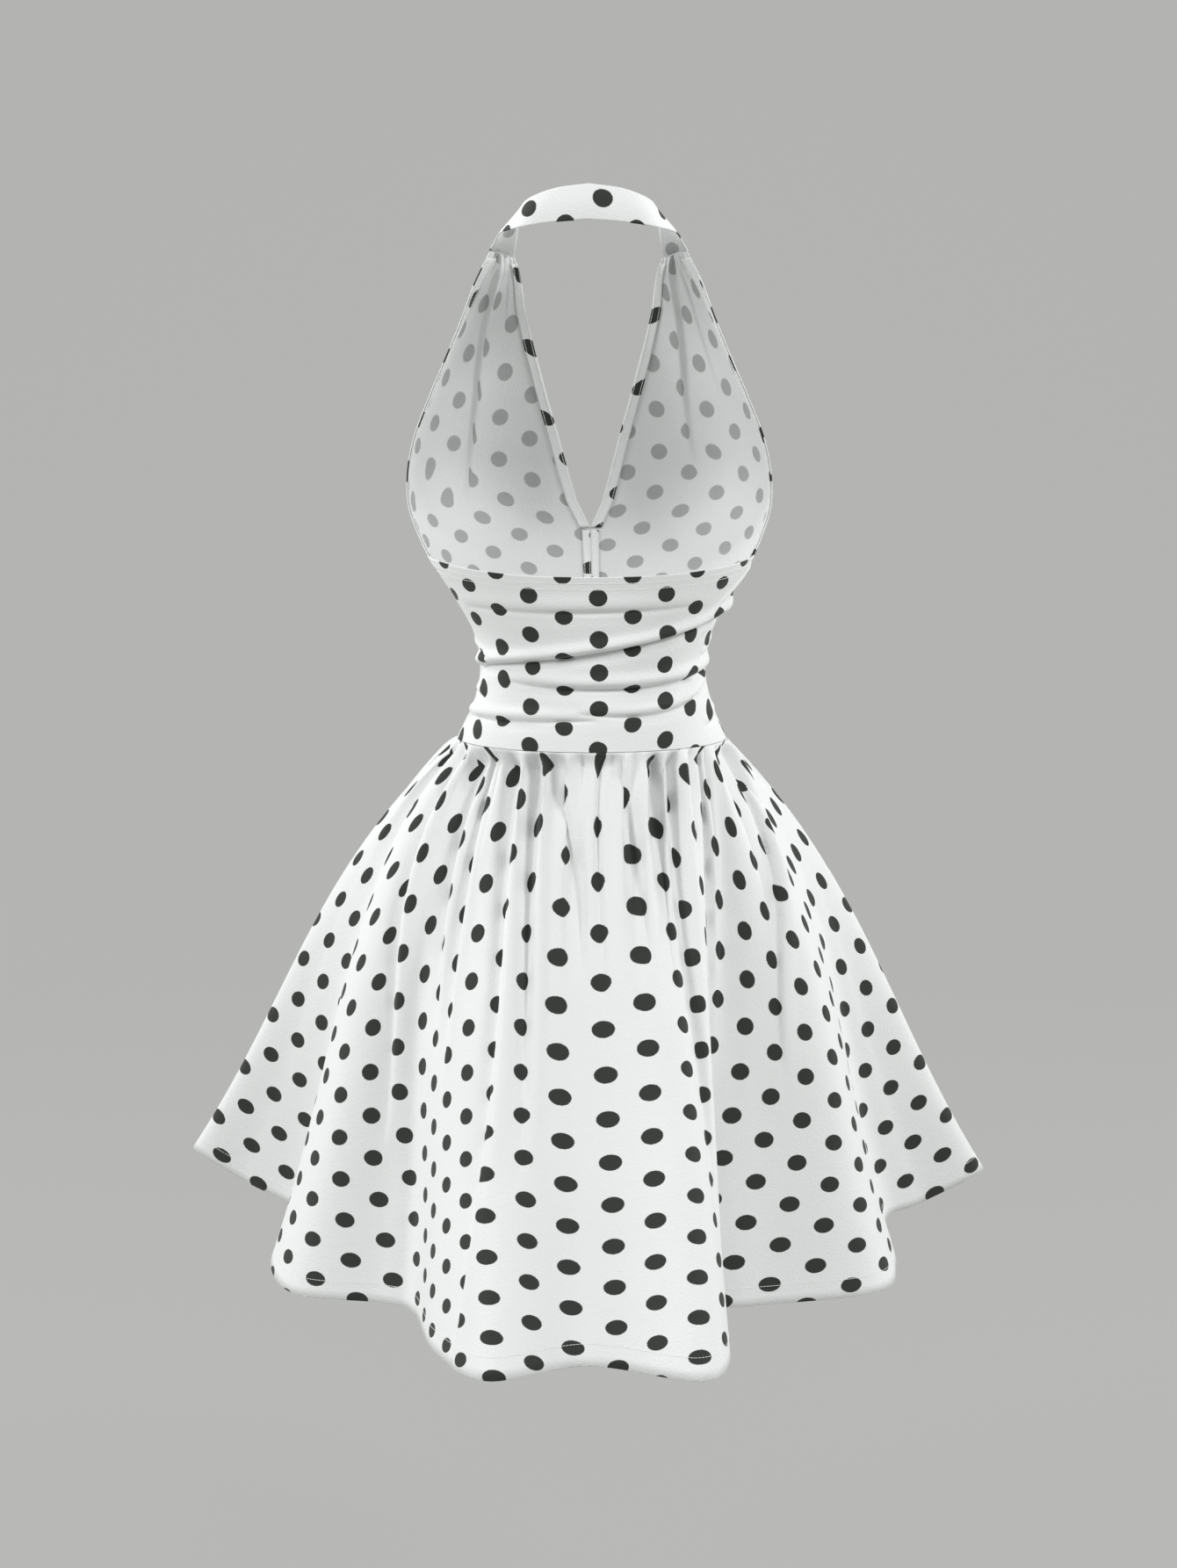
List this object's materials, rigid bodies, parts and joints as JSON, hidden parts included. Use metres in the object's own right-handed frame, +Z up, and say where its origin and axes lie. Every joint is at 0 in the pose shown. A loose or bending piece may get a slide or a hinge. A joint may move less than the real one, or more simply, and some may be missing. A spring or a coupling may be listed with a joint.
{
  "type": "a-line halter dress",
  "caption": "Short halter-neck dress with a V front, an open upper back, a ruched fitted waist and a gathered, flared skirt, filled out with no wearer.",
  "frame": {"origin": "inner face of the neckband at the centre back, half way up the band", "axes": "+Z up; the wearer faces -Y, so the open back is towards +Y; +X is the wearer's left"},
  "size_m": [0.7755, 0.8514, 0.9785],
  "materials": {
    "dotted_crepe": "matt pebbled crepe knit, white with a printed dark dot",
    "turned_crepe": "the same crepe turned to the inside and stitched flat"
  },
  "bodies": {
    "root": {"neckband": "dotted_crepe", "front_left": "dotted_crepe", "front_right": "dotted_crepe", "neck_hem_left": "turned_crepe", "neck_hem_right": "turned_crepe", "armhole_hem_left": "turned_crepe", "armhole_hem_right": "turned_crepe", "centre_seam_left": "turned_crepe", "centre_seam_right": "turned_crepe", "back_panel": "dotted_crepe", "skirt_back": "dotted_crepe", "skirt_front": "dotted_crepe"}
  },
  "joints": []
}
